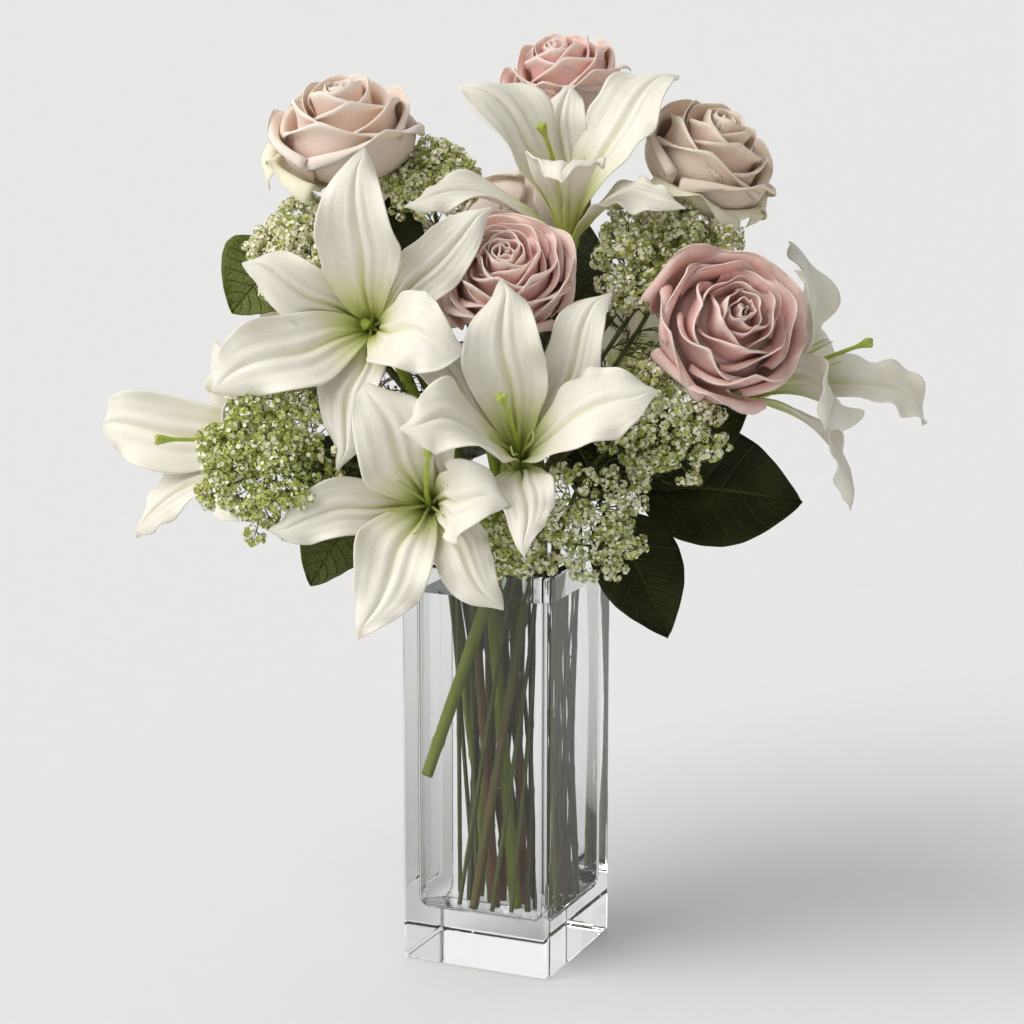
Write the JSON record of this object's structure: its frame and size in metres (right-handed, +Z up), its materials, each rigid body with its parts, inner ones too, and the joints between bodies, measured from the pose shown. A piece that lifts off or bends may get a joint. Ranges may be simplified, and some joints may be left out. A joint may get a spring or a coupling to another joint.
{
  "type": "lilies in a vase",
  "caption": "Florist's bouquet of white lilies, blush roses, lace flower and broad leaves, standing in a tall square vase of thick clear glass filled with water",
  "frame": {"origin": "middle of the vase's flat underside, on the table", "axes": "+Z up; X and Y square to the vase's four walls. The bouquet's own right-hand direction, as the picture shows it, is X turned by 24 degrees about +Z, and its viewer looks along +Y turned by the same angle."},
  "size_m": [0.4444, 0.3097, 0.5165],
  "materials": {
    "clear_glass": "polished clear glass with a faint green tint at its edges",
    "water": null,
    "lily_petal": null,
    "pistil": null,
    "lily_stem": null,
    "rose_cream": null,
    "rose_blush": null,
    "rose_stem": null,
    "lace_flower": null,
    "leaf": null
  },
  "bodies": {
    "root": {"lily_left": "lily_petal", "pistil_left": "pistil", "lily_top": "lily_petal", "pistil_top": "pistil", "lily_front": "lily_petal", "pistil_front": "pistil", "lily_low": "lily_petal", "pistil_low": "pistil", "lily_far_left": "lily_petal", "pistil_far_left": "pistil", "lily_right": "lily_petal", "pistil_right": "pistil", "lily_back_left": "lily_petal", "pistil_back_left": "pistil", "lily_back_right": "lily_petal", "pistil_back_right": "pistil", "rose_left": "rose_cream", "rose_stem_left": "rose_stem", "rose_top": "rose_blush", "rose_stem_top": "rose_stem", "rose_right": "rose_cream", "rose_stem_right": "rose_stem", "rose_middle": "rose_blush", "rose_stem_middle": "rose_stem", "rose_front": "rose_blush", "rose_stem_front": "rose_stem", "rose_back": "rose_cream", "rose_stem_back": "rose_stem", "lily_stem_front": "lily_stem", "lily_stem_left": "lily_stem", "lily_stem_right": "lily_stem", "lily_stem_top": "lily_stem", "leaves_low_right": "leaf", "leaves_high_right": "leaf", "leaves_back": "leaf", "leaves_high_left": "leaf", "leaves_low_left": "leaf", "lace_upper": "lace_flower", "lace_left": "lace_flower", "lace_low_left": "lace_flower", "lace_right": "lace_flower", "lace_low_right": "lace_flower", "lace_front": "lace_flower", "lace_low": "lace_flower", "lace_back_left": "lace_flower", "lace_back_right": "lace_flower", "water": "water", "vase": "clear_glass"}
  },
  "joints": []
}
